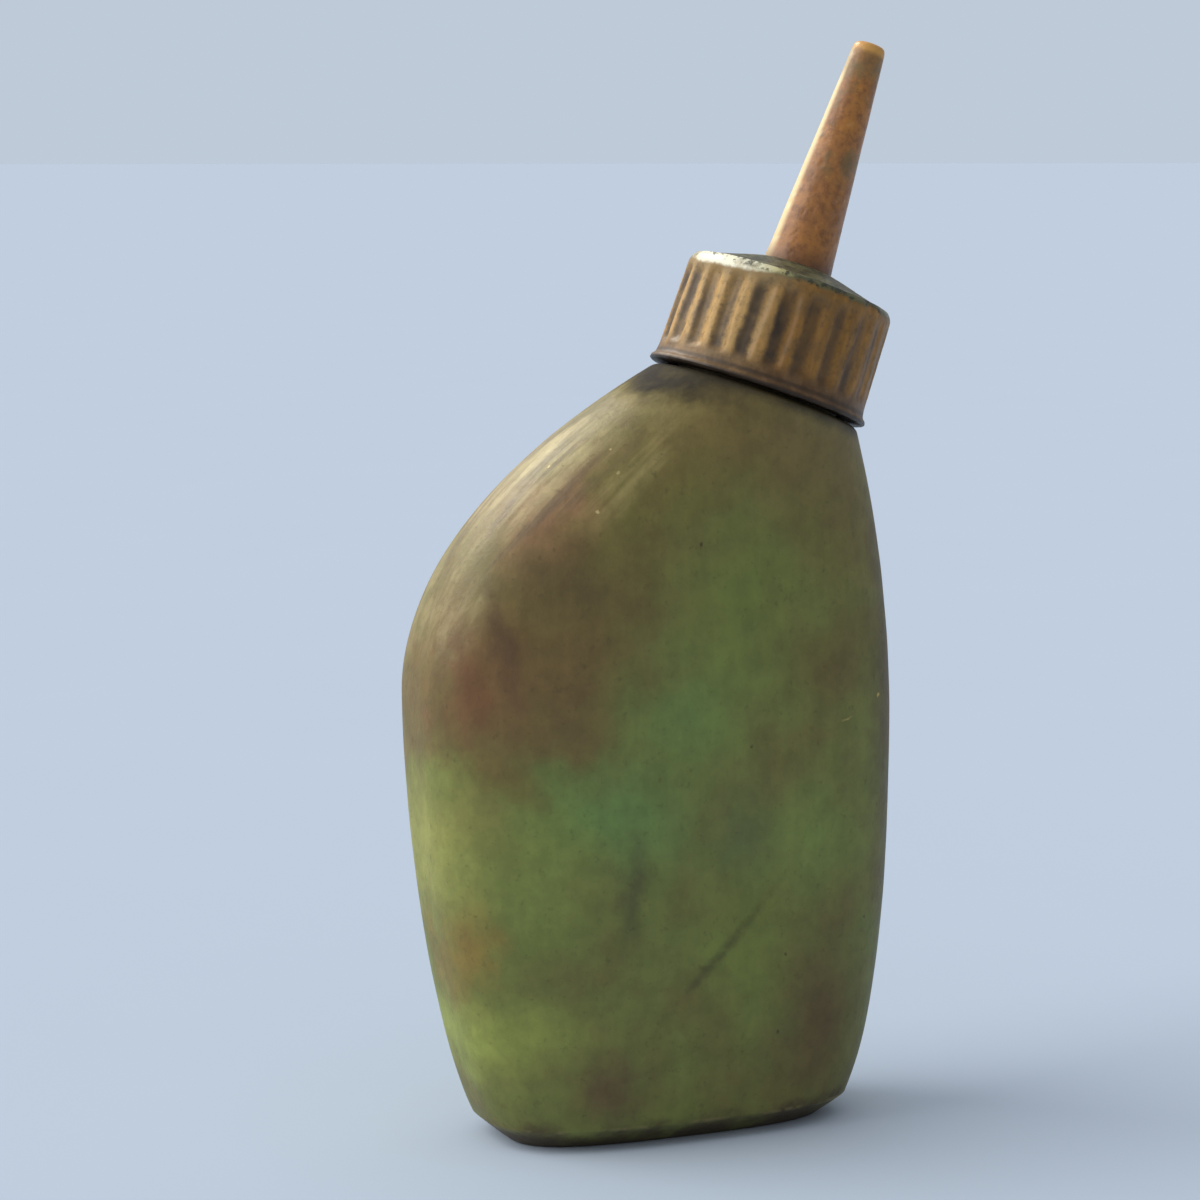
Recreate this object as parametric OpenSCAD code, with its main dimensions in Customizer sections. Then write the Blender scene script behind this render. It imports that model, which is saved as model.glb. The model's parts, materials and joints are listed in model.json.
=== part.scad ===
// Hand oiler: a flattened glass oil bottle with a leaning screw neck. A ribbed
// screw cap clamps the flange of a long tapered spout onto a sealing washer.
// Millimetres, +Z up. The origin is the middle of the flat base, the bottle's
// broad faces look along -Y and +Y, and the neck leans towards +X.

/* [Bottle body] */
// Half width of the body where the base's chamfer ends
base_half_w = 25.5; // [23:0.1:27]
// Half depth of the body where the base's chamfer ends
base_half_d = 12.6; // [11:0.1:14]
// Height of the base's chamfer
base_edge_h = 3; // [1:0.5:5]
// How far the chamfer pulls in
base_edge_in = 3.8; // [2:0.1:6]
// Bulge of the chamfer, from 0 for straight to 1 for a quarter round
base_edge_bulge = 0.1; // [0:0.1:1]
// Reach of the bulging left side
left_reach = 34.7; // [33:0.1:36]
// Height of the bulge's widest point
left_reach_z = 59.4; // [55:0.1:63]
// Reach of the straighter right side
right_reach = 31.4; // [30:0.1:33]
// Height of the right side's widest point
right_reach_z = 50.8; // [46:0.1:54]
// Half depth at the widest part
belly_half_d = 16.1; // [14:0.1:17]
// Squareness of the section, where 2 is an ellipse
squareness = 3; // [2:0.1:4]
// Thickness of the glass at the sides
wall = 2.2; // [1.6:0.1:2.6]
// Thickness of the glass at the base
floor_h = 2.9; // [2:0.1:4]

/* [Neck] */
// How far the neck leans from upright, in degrees
lean = 19.8; // [18:0.1:22]
// Sideways place of the neck axis at the cap's rim
neck_x = 13.9; // [13:0.1:15]
// Height of the neck axis at the cap's rim
neck_z = 97.4; // [95:0.1:99]
// Radius of the shoulder just under the cap's rim
shoulder_r = 14.1; // [13.8:0.1:14.4]
// Outer radius of the neck wall
neck_r = 10.75; // [10.6:0.05:10.9]
// Radius of the mouth's bore
mouth_r = 8; // [7:0.1:8.5]
// Height of the lip above the cap's rim
lip_h = 11.2; // [11:0.1:11.3]

/* [Screw thread] */
// Rise in one turn, eight threads to the inch
pitch = 3.175; // [3:0.025:3.3]
// Turns of thread on the neck and in the cap
thread_turns = 1.5; // [1:0.25:1.75]
// Crest radius of the neck's thread
neck_crest_r = 11.95; // [11.8:0.05:12]
// Crest radius of the cap's thread
cap_crest_r = 11.2; // [11.1:0.05:11.4]
// Gap between the flanks that bear on each other
flank_gap = 0.15; // [0.1:0.05:0.3]

/* [Screw cap] */
// Radius over the ribs
cap_r = 14; // [13.8:0.1:14.4]
// Radius of the flared rim
rim_r = 15; // [14.6:0.1:15.4]
// Inner radius of the skirt
skirt_r = 12.3; // [12.2:0.05:12.4]
// Height of the skirt up to its worn top edge
cap_h = 14.5; // [14.2:0.1:14.8]
// Height of the cone's top, where the spout comes out
cone_h = 17.7; // [17:0.1:18.5]
// Number of ribs
ribs = 23; // [20:1:32]
// Turn of the first groove away from the side the neck leans to, in degrees
groove_turn = -2.9; // [-8:0.1:8]
// Depth of the grooves between ribs
groove_depth = 0.55; // [0.3:0.05:0.7]
// Radius of the tool that cuts a groove
groove_tool_r = 1; // [0.7:0.1:1.2]

/* [Spout] */
// Height of the tip above the cap's rim
tip_h = 48.7; // [40:0.1:54]
// Radius of the spout where it leaves the cap
spout_base_r = 4.6; // [4.2:0.05:4.8]
// Radius at the tip, before its edge is rounded
spout_tip_r = 2.2; // [2:0.05:2.6]
// Radius of the hole at the tip
drip_r = 0.9; // [0.6:0.05:1.1]
// Length of the straight hole at the tip
drip_length = 5; // [3:0.5:8]
// Length of the plug that reaches into the mouth
plug_length = 3; // [2:0.5:5]

/* [Fits] */
// Gap between faces that press together
seat_gap = 0.05; // [0.02:0.01:0.1]
// Gap around the plug and around the spout in the cap
side_gap = 0.2; // [0.15:0.05:0.3]

/* [Hidden] */

ring_points = 64;
side_rings = 18;
edge_rings = 4;
cavity_points = 48;
round_fn = 96;

// Directions in the plane of the lean: along the neck, and across it
up = [sin(lean), cos(lean)];
across = [cos(lean), -sin(lean)];
neck_at = [neck_x, neck_z];

// Heights along the neck, counted from the cap's rim
shoulder_s = -0.6;
land_s = -0.4;
land_r = shoulder_r - 0.6;
ceiling_s = -2.4;
washer_h = 1;
washer_s = lip_h + seat_gap;
flange_s = washer_s + washer_h;
flange_h = 1.5;
inner_top_s = flange_s + flange_h + seat_gap;
bevel_s = cap_h + 0.85;
bevel_r = cap_r - 0.7;

// How the side curves leave and reach their ends
left_foot_pull = [-4.8, 9.7];
left_low_pull = 18.9;
left_high_pull = 19.2;
left_neck_pull = 17.6;
left_neck_dir = [sin(64.2), cos(64.2)];
right_foot_pull = [4.3, 9.1];
right_low_pull = 19.5;
right_high_pull = 15.7;
right_neck_pull = 8.9;
right_neck_dir = [-sin(25.2), cos(25.2)];

left_foot = [-base_half_w, base_edge_h];
left_side = [-left_reach, left_reach_z];
left_top = neck_at - shoulder_r * across + shoulder_s * up;
right_foot = [base_half_w, base_edge_h];
right_side = [right_reach, right_reach_z];
right_top = neck_at + shoulder_r * across + shoulder_s * up;

// The four corner points of each side curve's two spans
left_low = [left_foot, left_foot + left_foot_pull, left_side - [0, left_low_pull], left_side];
left_high = [left_side, left_side + [0, left_high_pull], left_top - left_neck_pull * left_neck_dir, left_top];
right_low = [right_foot, right_foot + right_foot_pull, right_side - [0, right_low_pull], right_side];
right_high = [right_side, right_side + [0, right_high_pull], right_top - right_neck_pull * right_neck_dir,
              right_top];

function bezier(p, u) = pow(1 - u, 3) * p[0] + 3 * u * pow(1 - u, 2) * p[1] + 3 * u * u * (1 - u) * p[2]
                        + pow(u, 3) * p[3];
function slope(p, u) = pow(1 - u, 2) * (p[1] - p[0]) + 2 * u * (1 - u) * (p[2] - p[1]) + u * u * (p[3] - p[2]);
function ease(v) = v * v * (3 - 2 * v);
function mix(a, b, v) = (1 - v) * a + v * b;
function signed_pow(v, e) = sign(v) * pow(abs(v), e);

// A side curve at u, from 0 at the base edge to 2 at the cap's rim, moved in by inset
function side_at(low, high, u, inset, hand) =
    let (span = u < 1 ? low : high,
         v = u < 1 ? u : u - 1,
         d = slope(span, v) / norm(slope(span, v)))
    bezier(span, v) + inset * hand * [d[1], -d[0]];
function left_at(u, inset = 0) = side_at(left_low, left_high, u, inset, 1);
function right_at(u, inset = 0) = side_at(right_low, right_high, u, inset, -1);
function half_depth_at(u) = u < 1 ? mix(base_half_d, belly_half_d, sin(90 * u))
                                  : mix(belly_half_d, shoulder_r, ease(u - 1));
function squareness_at(u) = u < 1 ? squareness : mix(squareness, 2, ease(u - 1));

// A rounded ring through the points l and r of the XZ plane
function ring(l, r, half_d, power, count) =
    [for (i = [0:count - 1])
        let (a = 360 * i / count,
             c = signed_pow(cos(a), 2 / power),
             m = (l + r) / 2 + c * (r - l) / 2)
        [m[0], half_d * signed_pow(sin(a), 2 / power), m[1]]];

// A ring of the base's chamfer at v, from 0 at the floor to 1 where it meets the side
function edge_ring(v, inset, floor_z, count) =
    let (pull = inset + base_edge_in * (1 - mix(v, sin(90 * v), base_edge_bulge)),
         z = mix(floor_z, base_edge_h + inset, mix(v, 1 - cos(90 * v), base_edge_bulge)))
    ring([-base_half_w + pull, z], [base_half_w - pull, z], base_half_d - pull, squareness, count);

// A circle around the neck axis at height s
function neck_ring(s, r, count) =
    ring(neck_at + s * up - r * across, neck_at + s * up + r * across, r, 2, count);

// A closed skin over rings of equal count
module loft(rings) {
    count = len(rings[0]);
    last = len(rings) - 1;
    points = [for (r = rings) each r];
    sides = [for (k = [0:last - 1], i = [0:count - 1])
                let (a = k * count + i, b = k * count + (i + 1) % count)
                each [[a, a + count, b], [b, a + count, b + count]]];
    polyhedron(points, concat([[for (i = [0:count - 1]) i]],
                              sides,
                              [[for (i = [count - 1:-1:0]) last * count + i]]), 4);
}

// Moves children from the cap's own upright frame onto the leaning neck
module on_neck() {
    translate([neck_x, 0, neck_z]) rotate([0, lean, 0]) children();
}

// A right-hand helical rib around Z; its root and crest are [radius, half width]
module thread(start_s, root, crest) {
    steps = 30 * thread_turns;
    fade_steps = 4;
    rings = [for (i = [0:steps])
        let (a = 360 * thread_turns * i / steps,
             s = start_s + pitch * a / 360,
             full = ease(min(1, i / fade_steps, (steps - i) / fade_steps)),
             tip = mix(root[0], crest[0], mix(0.1, 1, full)),
             around = [cos(a), sin(a)])
        [for (p = [[root[0], root[1]], [tip, crest[1]], [tip, -crest[1]], [root[0], -root[1]]])
            [p[0] * around[0], p[0] * around[1], s + p[1]]]];
    loft(crest[0] > root[0] ? rings : [for (r = rings) [for (i = [3:-1:0]) r[i]]]);
}

neck_thread_s = 4.9;
neck_root = [neck_r - 0.4, 1.1];
neck_crest = [neck_crest_r, 0.45];
cap_root = [skirt_r + 0.4, 0.75];
cap_crest = [cap_crest_r, 0.35];
// Axial half width of the two threads together, at the radius of the neck's crest
flank_reach = neck_crest[1] + mix(cap_crest[1], cap_root[1],
                                  (neck_crest_r - cap_crest_r) / (cap_root[0] - cap_crest_r));
flank_reach_root = cap_crest[1] + mix(neck_crest[1], neck_root[1],
                                      (neck_crest_r - cap_crest_r) / (neck_crest_r - neck_root[0]));
cap_thread_s = neck_thread_s - max(flank_reach, flank_reach_root) - flank_gap;

module body_skin() {
    floor_rings = [for (i = [0:edge_rings - 1]) edge_ring(i / edge_rings, 0, 0, ring_points)];
    side = [for (i = [0:2 * side_rings])
        let (u = i / side_rings)
        ring(left_at(u), right_at(u), half_depth_at(u), squareness_at(u), ring_points)];
    top = [neck_ring(mix(shoulder_s, land_s, 0.6), mix(land_r, shoulder_r, 0.6), ring_points),
           neck_ring(land_s, land_r, ring_points)];
    loft(concat(floor_rings, side, top));
}

// The cavity's skin ends as a ring inside the mouth's bore, which cuts on through it
module body_cavity() {
    last_u = 1.84;
    throat_r = mouth_r - 0.5;
    floor_rings = [for (i = [0:edge_rings - 1]) edge_ring(i / edge_rings, wall, floor_h, cavity_points)];
    side = [for (i = [1:side_rings])
        let (u = last_u * i / side_rings)
        ring(left_at(u, wall), right_at(u, wall), half_depth_at(u) - wall, squareness_at(u), cavity_points)];
    top = [for (a = [22.5:22.5:90])
        let (l = mix(left_at(last_u, wall), neck_at + ceiling_s * up - throat_r * across, 1 - cos(a)),
             r = mix(right_at(last_u, wall), neck_at + ceiling_s * up + throat_r * across, 1 - cos(a)),
             rise = (sin(a) - 1 + cos(a)) * 2.4 * up)
        ring(l + rise, r + rise, mix(half_depth_at(last_u) - wall, throat_r, 1 - cos(a)),
             mix(squareness_at(last_u), 2, 1 - cos(a)), cavity_points)];
    loft(concat(floor_rings, side, top));
}

// The neck's solid outline: root inside the shoulder, a bead, and a rounded lip
module neck_blank() {
    lip_round = 0.8;
    bead_r = 0.65;
    rotate_extrude($fn = round_fn) {
        polygon(concat([[0, land_s - 0.5], [neck_r, land_s - 0.5]],
                       [for (a = [0:15:90]) [neck_r - lip_round * (1 - cos(a)), lip_h - lip_round * (1 - sin(a))]],
                       [[0, lip_h]]));
        translate([neck_r + 0.1, 1.1]) circle(bead_r, $fn = 32);
    }
}

module bottle_body() {
    color("#5d6437") difference() {
        union() {
            body_skin();
            on_neck() {
                neck_blank();
                thread(neck_thread_s, neck_root, neck_crest);
            }
        }
        body_cavity();
        on_neck() translate([0, 0, ceiling_s - 2]) cylinder(h = lip_h - ceiling_s + 3, r = mouth_r, $fn = round_fn);
    }
}

// The cap's outer outline: flared rim, skirt, worn top edge and shallow cone
module cap_blank() {
    rim_h = 1.1;
    flare_h = 0.9;
    rotate_extrude($fn = round_fn)
        polygon([[0, 0], [rim_r - 0.35, 0], [rim_r, 0.3], [rim_r - 0.1, rim_h * 0.65], [cap_r + 0.2, rim_h],
                 [cap_r, rim_h + flare_h], [cap_r, cap_h - 0.3], [cap_r - 0.2, cap_h + 0.25], [bevel_r, bevel_s],
                 [spout_base_r + side_gap, cone_h], [0, cone_h]]);
}

module cap_grooves() {
    low_s = 2.3;
    high_s = cap_h - 0.7;
    for (i = [0:ribs - 1]) rotate([0, 0, groove_turn + 360 * i / ribs])
        translate([cap_r - groove_depth + groove_tool_r, 0, low_s])
            cylinder(h = high_s - low_s, r = groove_tool_r, $fn = 24);
}

module screw_cap() {
    color("#8a6233") on_neck() {
        difference() {
            cap_blank();
            cap_grooves();
            translate([0, 0, -1]) cylinder(h = inner_top_s + 1, r = skirt_r, $fn = round_fn);
            cylinder(h = cone_h + 1, r = spout_base_r + side_gap, $fn = round_fn);
        }
        thread(cap_thread_s, cap_root, cap_crest);
    }
}

// Plug, flange, shank and tapered barrel in one turned shape with a through bore
module spout() {
    plug_r = mouth_r - side_gap;
    plug_bore_r = plug_r - 1.3;
    flange_r = skirt_r - 0.7;
    tip_round = 1;
    throat_r = 2.4;
    throat_s = cone_h - 0.8;
    drip_s = tip_h - drip_length;
    color("#a3683a") on_neck() difference() {
        rotate_extrude($fn = round_fn)
            polygon(concat([[0, lip_h - plug_length], [plug_r - 0.4, lip_h - plug_length],
                            [plug_r, lip_h - plug_length + 0.8], [plug_r, flange_s], [flange_r, flange_s],
                            [flange_r, flange_s + flange_h], [spout_base_r, flange_s + flange_h],
                            [spout_base_r, cone_h]],
                           [for (a = [0:15:90]) [spout_tip_r - tip_round * (1 - cos(a)),
                                                 tip_h - tip_round * (1 - sin(a))]],
                           [[0, tip_h]]));
        rotate_extrude($fn = round_fn)
            polygon([[0, lip_h - plug_length - 1], [plug_bore_r, lip_h - plug_length - 1], [plug_bore_r, lip_h - 0.4],
                     [throat_r + 0.6, flange_s + 0.8], [throat_r, throat_s], [drip_r, drip_s], [0, drip_s]]);
        translate([0, 0, drip_s - 1]) cylinder(h = drip_length + 2, r = drip_r, $fn = round_fn);
    }
}

// Flat ring between the lip and the spout's flange
module sealing_washer() {
    inner_r = mouth_r + 0.1;
    outer_r = neck_r + 0.6;
    color("#2b2a28") on_neck() translate([0, 0, washer_s]) difference() {
        cylinder(h = washer_h - 0.02, r = outer_r, $fn = round_fn);
        translate([0, 0, -1]) cylinder(h = washer_h + 2, r = inner_r, $fn = round_fn);
    }
}

bottle_body();
screw_cap();
spout();
sealing_washer();
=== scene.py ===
import json
import math
from types import SimpleNamespace

import bpy
import numpy as np
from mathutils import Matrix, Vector, noise


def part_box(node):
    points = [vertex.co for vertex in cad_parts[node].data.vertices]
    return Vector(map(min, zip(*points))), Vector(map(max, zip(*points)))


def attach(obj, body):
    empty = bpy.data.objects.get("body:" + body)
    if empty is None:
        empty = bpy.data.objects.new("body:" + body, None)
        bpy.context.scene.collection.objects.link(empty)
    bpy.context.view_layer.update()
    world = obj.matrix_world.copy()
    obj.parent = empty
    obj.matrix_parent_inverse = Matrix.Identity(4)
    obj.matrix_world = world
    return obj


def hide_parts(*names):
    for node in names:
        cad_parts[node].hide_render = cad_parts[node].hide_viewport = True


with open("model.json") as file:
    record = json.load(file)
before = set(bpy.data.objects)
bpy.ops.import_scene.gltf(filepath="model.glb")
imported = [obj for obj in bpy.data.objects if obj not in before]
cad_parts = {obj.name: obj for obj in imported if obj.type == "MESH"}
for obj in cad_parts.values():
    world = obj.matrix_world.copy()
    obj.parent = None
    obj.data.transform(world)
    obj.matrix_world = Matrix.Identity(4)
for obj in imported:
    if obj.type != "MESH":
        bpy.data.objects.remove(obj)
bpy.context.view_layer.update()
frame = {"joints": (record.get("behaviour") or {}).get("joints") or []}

# Lengths are in millimetres in the part's own frame until a mesh is made. Names that end in _S are
# heights along the neck's axis, and those that end in _U are places on a side: 0 at the base's edge,
# 1 at the widest point and 2 at the cap's rim.
MM = 1000.0

# ---------------------------------------------------------------- sizes from the frame


def box_mm(node):
    low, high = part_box(node)
    return np.array(low) * MM, np.array(high) * MM


joint = {j["name"]: j for j in frame["joints"]}["cap_turn"]
NECK = np.array(joint["pos_m"]) * MM
UP = np.array(joint["axis"])
UP = UP / np.linalg.norm(UP)
LEAN = math.atan2(UP[0], UP[2])
ACROSS = np.array([math.cos(LEAN), 0.0, -math.sin(LEAN)])
DEPTH = np.array([0.0, 1.0, 0.0])

body_low, body_high = box_mm("bottle_body")
LEFT_REACH = -body_low[0]
RIGHT_REACH = body_high[0]
BELLY_HALF_D = body_high[1]
RIM_R = box_mm("screw_cap")[1][1]

# ---------------------------------------------------------------- sizes of the bottle body

BASE_LEFT_X = -25.5
BASE_RIGHT_X = 26.0
BASE_HALF_D = 12.6
BASE_EDGE_H = 3.0
BASE_EDGE_IN = 3.8
CHAMFER_BULGE = 0.04
LEFT_REACH_Z = 59.4
RIGHT_REACH_Z = 50.8
RIGHT_FULLER = 0.3
SQUARENESS = 3.0
SECTION_SAMPLES = 1441
WALL = 2.2
FLOOR_H = 2.9
SHOULDER_R = 14.1
SHOULDER_S = -0.6
LAND_R = 13.5
LAND_S = -0.4
NECK_R = 10.75
MOUTH_R = 8.0
LIP_H = 11.2
LIP_ROUND = 0.8
BEAD_S = 1.1
BEAD_R = 0.65
BEAD_OUT = 0.1
CEILING_S = -2.4
CAVITY_TOP_U = 1.84
CAVITY_RISE = 2.4
TOP_U = 1.99

# (half width, half depth) of the rings on the flat underside
UNDERSIDE_RINGS = ((8, 2), (15, 5))

# How far each side curve runs on in line with its direction at the foot, the widest point and the top,
# and how far that direction leans from upright at the top
LEFT_FOOT_PULL = (-4.8, 9.7)
LEFT_SIDE_PULLS = (18.9, 19.2)
LEFT_TOP_PULL = 17.6
LEFT_TOP_LEAN = math.radians(64.2)
RIGHT_FOOT_PULL = (4.3, 9.1)
RIGHT_SIDE_PULLS = (19.5, 15.7)
RIGHT_TOP_PULL = 8.9
RIGHT_TOP_LEAN = math.radians(-25.2)

# ---------------------------------------------------------------- sizes of the screw thread

PITCH = 3.175
THREAD_TURNS = 1.5
THREAD_FADE = math.radians(48)
NECK_THREAD_S = 4.9
NECK_THREAD_ROOT = (NECK_R - 0.4, 1.1)
NECK_THREAD_CREST = (11.95, 0.45)
CAP_THREAD_S = 3.645
CAP_THREAD_ROOT = (12.7, 0.75)
CAP_THREAD_CREST = (11.2, 0.35)

# ---------------------------------------------------------------- sizes of the cap, spout and washer

CAP_R = 14.0
SKIRT_R = 12.3
CAP_H = 14.5
CONE_H = 17.7
INNER_TOP_S = 13.8
RIBS = 23
GROOVE_TURN = math.radians(-2.9)
GROOVE_DEPTH = 0.55
GROOVE_LOW_S = 2.3
GROOVE_HIGH_S = CAP_H - 0.7
GROOVE_WANDER = 0.32
GROOVE_FADE_LOW = 0.9
GROOVE_FADE_HIGH = 1.1
CAP_SEED = 4

# The side of the cap where the grooves are rubbed shallow: its angle, and the cosines it fades between
RUBBED_TURN = math.radians(-42)
RUBBED_EDGE = (0.8, 0.96)
RUBBED_AMOUNT = 0.55

TIP_H = 48.7
SPOUT_BASE_R = 4.6
SPOUT_TIP_R = 2.2
SPOUT_HOLE_R = 4.8
DRIP_R = 0.9
DRIP_LENGTH = 5.0
PLUG_R = 7.8
PLUG_BORE_R = 6.5
PLUG_S = 8.2
PLUG_CHAMFER = (0.4, 0.8)
FUNNEL_LOW_R = 3.0
FUNNEL_HIGH_R = 2.4
FLANGE_R = 11.6
FLANGE_S = 12.25
FLANGE_H = 1.5
WASHER_S = 11.25
WASHER_H = 0.98
WASHER_INNER_R = 8.1
WASHER_OUTER_R = 11.35

# Points around each ring, the longest step along a profile, and the angle that makes an edge sharp
BODY_COLUMNS = 288
CAP_COLUMNS = RIBS * 20
SPOUT_COLUMNS = 144
WASHER_COLUMNS = 144
PROFILE_STEP = 0.42
SHARP_DEG = 38

# ---------------------------------------------------------------- shape helpers


def ease(v):
    v = np.clip(v, 0.0, 1.0)
    return v * v * (3 - 2 * v)


def mix(a, b, v):
    return (1 - v) * a + v * b


def bezier(p, u):
    return (1 - u) ** 3 * p[0] + 3 * u * (1 - u) ** 2 * p[1] + 3 * u * u * (1 - u) * p[2] + u ** 3 * p[3]


def slope(p, u):
    return (1 - u) ** 2 * (p[1] - p[0]) + 2 * u * (1 - u) * (p[2] - p[1]) + u * u * (p[3] - p[2])


def xz(x, z):
    return np.array([x, z])


UP_XZ = xz(UP[0], UP[2])
ACROSS_XZ = xz(ACROSS[0], ACROSS[2])
NECK_XZ = xz(NECK[0], NECK[2])


def side_curve(foot, foot_pull, side, side_pulls, top, top_pull, top_lean):
    """The two spans of a side: from the base's edge to the widest point, and on to the cap's rim."""
    top_dir = xz(math.sin(top_lean), math.cos(top_lean))
    low = [foot, foot + foot_pull, side - xz(0, side_pulls[0]), side]
    high = [side, side + xz(0, side_pulls[1]), top - top_pull * top_dir, top]
    return low, high


SHOULDER_XZ = NECK_XZ + SHOULDER_S * UP_XZ
LEFT = side_curve(xz(BASE_LEFT_X, BASE_EDGE_H), LEFT_FOOT_PULL,
                  xz(-LEFT_REACH, LEFT_REACH_Z), LEFT_SIDE_PULLS,
                  SHOULDER_XZ - SHOULDER_R * ACROSS_XZ, LEFT_TOP_PULL, LEFT_TOP_LEAN)
RIGHT = side_curve(xz(BASE_RIGHT_X, BASE_EDGE_H), RIGHT_FOOT_PULL,
                   xz(RIGHT_REACH + RIGHT_FULLER, RIGHT_REACH_Z), RIGHT_SIDE_PULLS,
                   SHOULDER_XZ + SHOULDER_R * ACROSS_XZ, RIGHT_TOP_PULL, RIGHT_TOP_LEAN)


def side_at(curve, u, inset, hand):
    """A side's point at u, from 0 at the base's edge to 2 at the cap's rim, moved in by inset."""
    span, v = (curve[0], u) if u < 1 else (curve[1], u - 1)
    d = slope(span, v)
    d = d / np.linalg.norm(d)
    return bezier(span, v) + inset * hand * xz(d[1], -d[0])


def half_depth(u):
    if u < 1:
        return mix(BASE_HALF_D, BELLY_HALF_D, math.sin(math.pi / 2 * u))
    return mix(BELLY_HALF_D, SHOULDER_R, ease(u - 1))


def squareness(u):
    return SQUARENESS if u < 1 else mix(SQUARENESS, 2.0, ease(u - 1))


def section_ring(left, right, half_d, power):
    """A rounded section through left and right of the XZ plane, with its points evenly spaced."""
    half_w = np.linalg.norm(right - left) / 2
    a = np.linspace(0, 2 * math.pi, SECTION_SAMPLES)
    k = (np.abs(np.cos(a)) ** power + np.abs(np.sin(a)) ** power) ** (-1 / power)
    c, s = k * np.cos(a), k * np.sin(a)
    run = np.concatenate([[0], np.cumsum(np.hypot(np.diff(c) * half_w, np.diff(s) * half_d))])
    even = np.linspace(0, run[-1], BODY_COLUMNS, endpoint=False)
    c, s = np.interp(even, run, c), np.interp(even, run, s)
    middle = (left + right) / 2 + c[:, None] * (right - left) / 2
    return np.column_stack([middle[:, 0], half_d * s, middle[:, 1]])


def body_ring(u, inset=0.0):
    return section_ring(side_at(LEFT, u, inset, 1), side_at(RIGHT, u, inset, -1), half_depth(u) - inset,
                        squareness(u))


def edge_ring(v, inset=0.0, floor_z=0.0):
    """A ring of the base's chamfer, from v = 0 at the floor to 1 where it meets the side."""
    out = mix(v, math.sin(math.pi / 2 * v), CHAMFER_BULGE)
    up = mix(v, 1 - math.cos(math.pi / 2 * v), CHAMFER_BULGE)
    pull = inset + BASE_EDGE_IN * (1 - out)
    z = mix(floor_z, BASE_EDGE_H + inset, up)
    return section_ring(xz(BASE_LEFT_X + pull, z), xz(BASE_RIGHT_X - pull, z), BASE_HALF_D - pull,
                        SQUARENESS)


def around_neck(r, s, columns):
    """A ring around the neck's axis. r and s are numbers, or one value for each column."""
    a = np.linspace(0, 2 * math.pi, columns, endpoint=False)
    r, s = np.broadcast_to(r, a.shape), np.broadcast_to(s, a.shape)
    return NECK + np.outer(r * np.cos(a), ACROSS) + np.outer(r * np.sin(a), DEPTH) + np.outer(s, UP)


def turn(before, corner, after, steps):
    """Rings that round off a corner ring between the rings before and after it."""
    return [(1 - t) ** 2 * before + 2 * t * (1 - t) * corner + t * t * after
            for t in np.linspace(0, 1, steps + 1)]


def soften(corners, steps=5, closed=True):
    """A profile of (r, s, cut) corners, each rounded with a short curve that starts cut away from it."""
    points = []
    count = len(corners)
    for i, (r, s, cut) in enumerate(corners):
        here = np.array([r, s])
        if cut == 0 or (not closed and i in (0, count - 1)):
            points.append(here)
            continue
        ends = []
        for other in (corners[i - 1], corners[(i + 1) % count]):
            d = np.array(other[:2]) - here
            ends.append(here + d / np.linalg.norm(d) * min(cut, np.linalg.norm(d) * 0.48))
        for t in np.linspace(0, 1, steps + 1):
            points.append((1 - t) ** 2 * ends[0] + 2 * t * (1 - t) * here + t * t * ends[1])
    return points


def fill(points, step, closed=True):
    """Adds points so that no two neighbours of a profile are further apart than step."""
    done = []
    following = points[1:] + (points[:1] if closed else [])
    for a, b in zip(points, following):
        parts = max(1, math.ceil(np.linalg.norm(b - a) / step))
        done += [mix(a, b, i / parts) for i in range(parts)]
    return done if closed else done + [points[-1]]


def helix_radius(angle, s, base_r, start_s, root, crest):
    """Radius of a wall with a right-hand thread on it. root and crest are (radius, half width)."""
    sign = 1 if crest[0] > root[0] else -1
    radius = np.full_like(angle, base_r)
    end = 2 * math.pi * THREAD_TURNS
    for lap in range(math.ceil(THREAD_TURNS) + 1):
        along = angle + 2 * math.pi * lap
        inside = along <= end
        full = ease(np.minimum(1, np.minimum(along, end - along) / THREAD_FADE))
        off = np.abs(s - (start_s + PITCH * along / (2 * math.pi)))
        rise = np.clip((root[1] - off) / (root[1] - crest[1]), 0, 1)
        tip = mix(root[0], crest[0], mix(0.1, 1, full))
        made = mix(root[0], tip, rise)
        radius = np.where(inside & (sign * made > sign * radius), made, radius)
    return radius


# ---------------------------------------------------------------- mesh helpers


def grid_faces(rows, columns, closed_rows, first=0):
    """Quads over a grid whose columns run round and whose rows may also close on themselves."""
    i, j = np.meshgrid(np.arange(rows if closed_rows else rows - 1), np.arange(columns), indexing="ij")
    up, right = (i + 1) % rows, (j + 1) % columns
    quads = np.stack([i * columns + j, i * columns + right, up * columns + right, up * columns + j], axis=-1)
    return (quads.reshape(-1, 4) + first).tolist()


def make_object(name, points, faces):
    mesh = bpy.data.meshes.new(name)
    mesh.from_pydata((np.asarray(points) / MM).tolist(), [], faces)
    mesh.validate()
    mesh.shade_smooth()
    mesh.set_sharp_from_angle(angle=math.radians(SHARP_DEG))
    made = bpy.data.objects.new(name, mesh)
    bpy.context.scene.collection.objects.link(made)
    return made


def capped_skin(name, rings):
    """A closed mesh over a stack of rings, with a fan at each end."""
    columns = len(rings[0])
    points = np.concatenate([rings[0].mean(0)[None], *rings, rings[-1].mean(0)[None]])
    faces = grid_faces(len(rings), columns, False, 1)
    last = 1 + (len(rings) - 1) * columns
    tip = len(points) - 1
    for j in range(columns):
        k = (j + 1) % columns
        faces.append([0, 1 + k, 1 + j])
        faces.append([tip, last + j, last + k])
    return make_object(name, points, faces)


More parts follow.
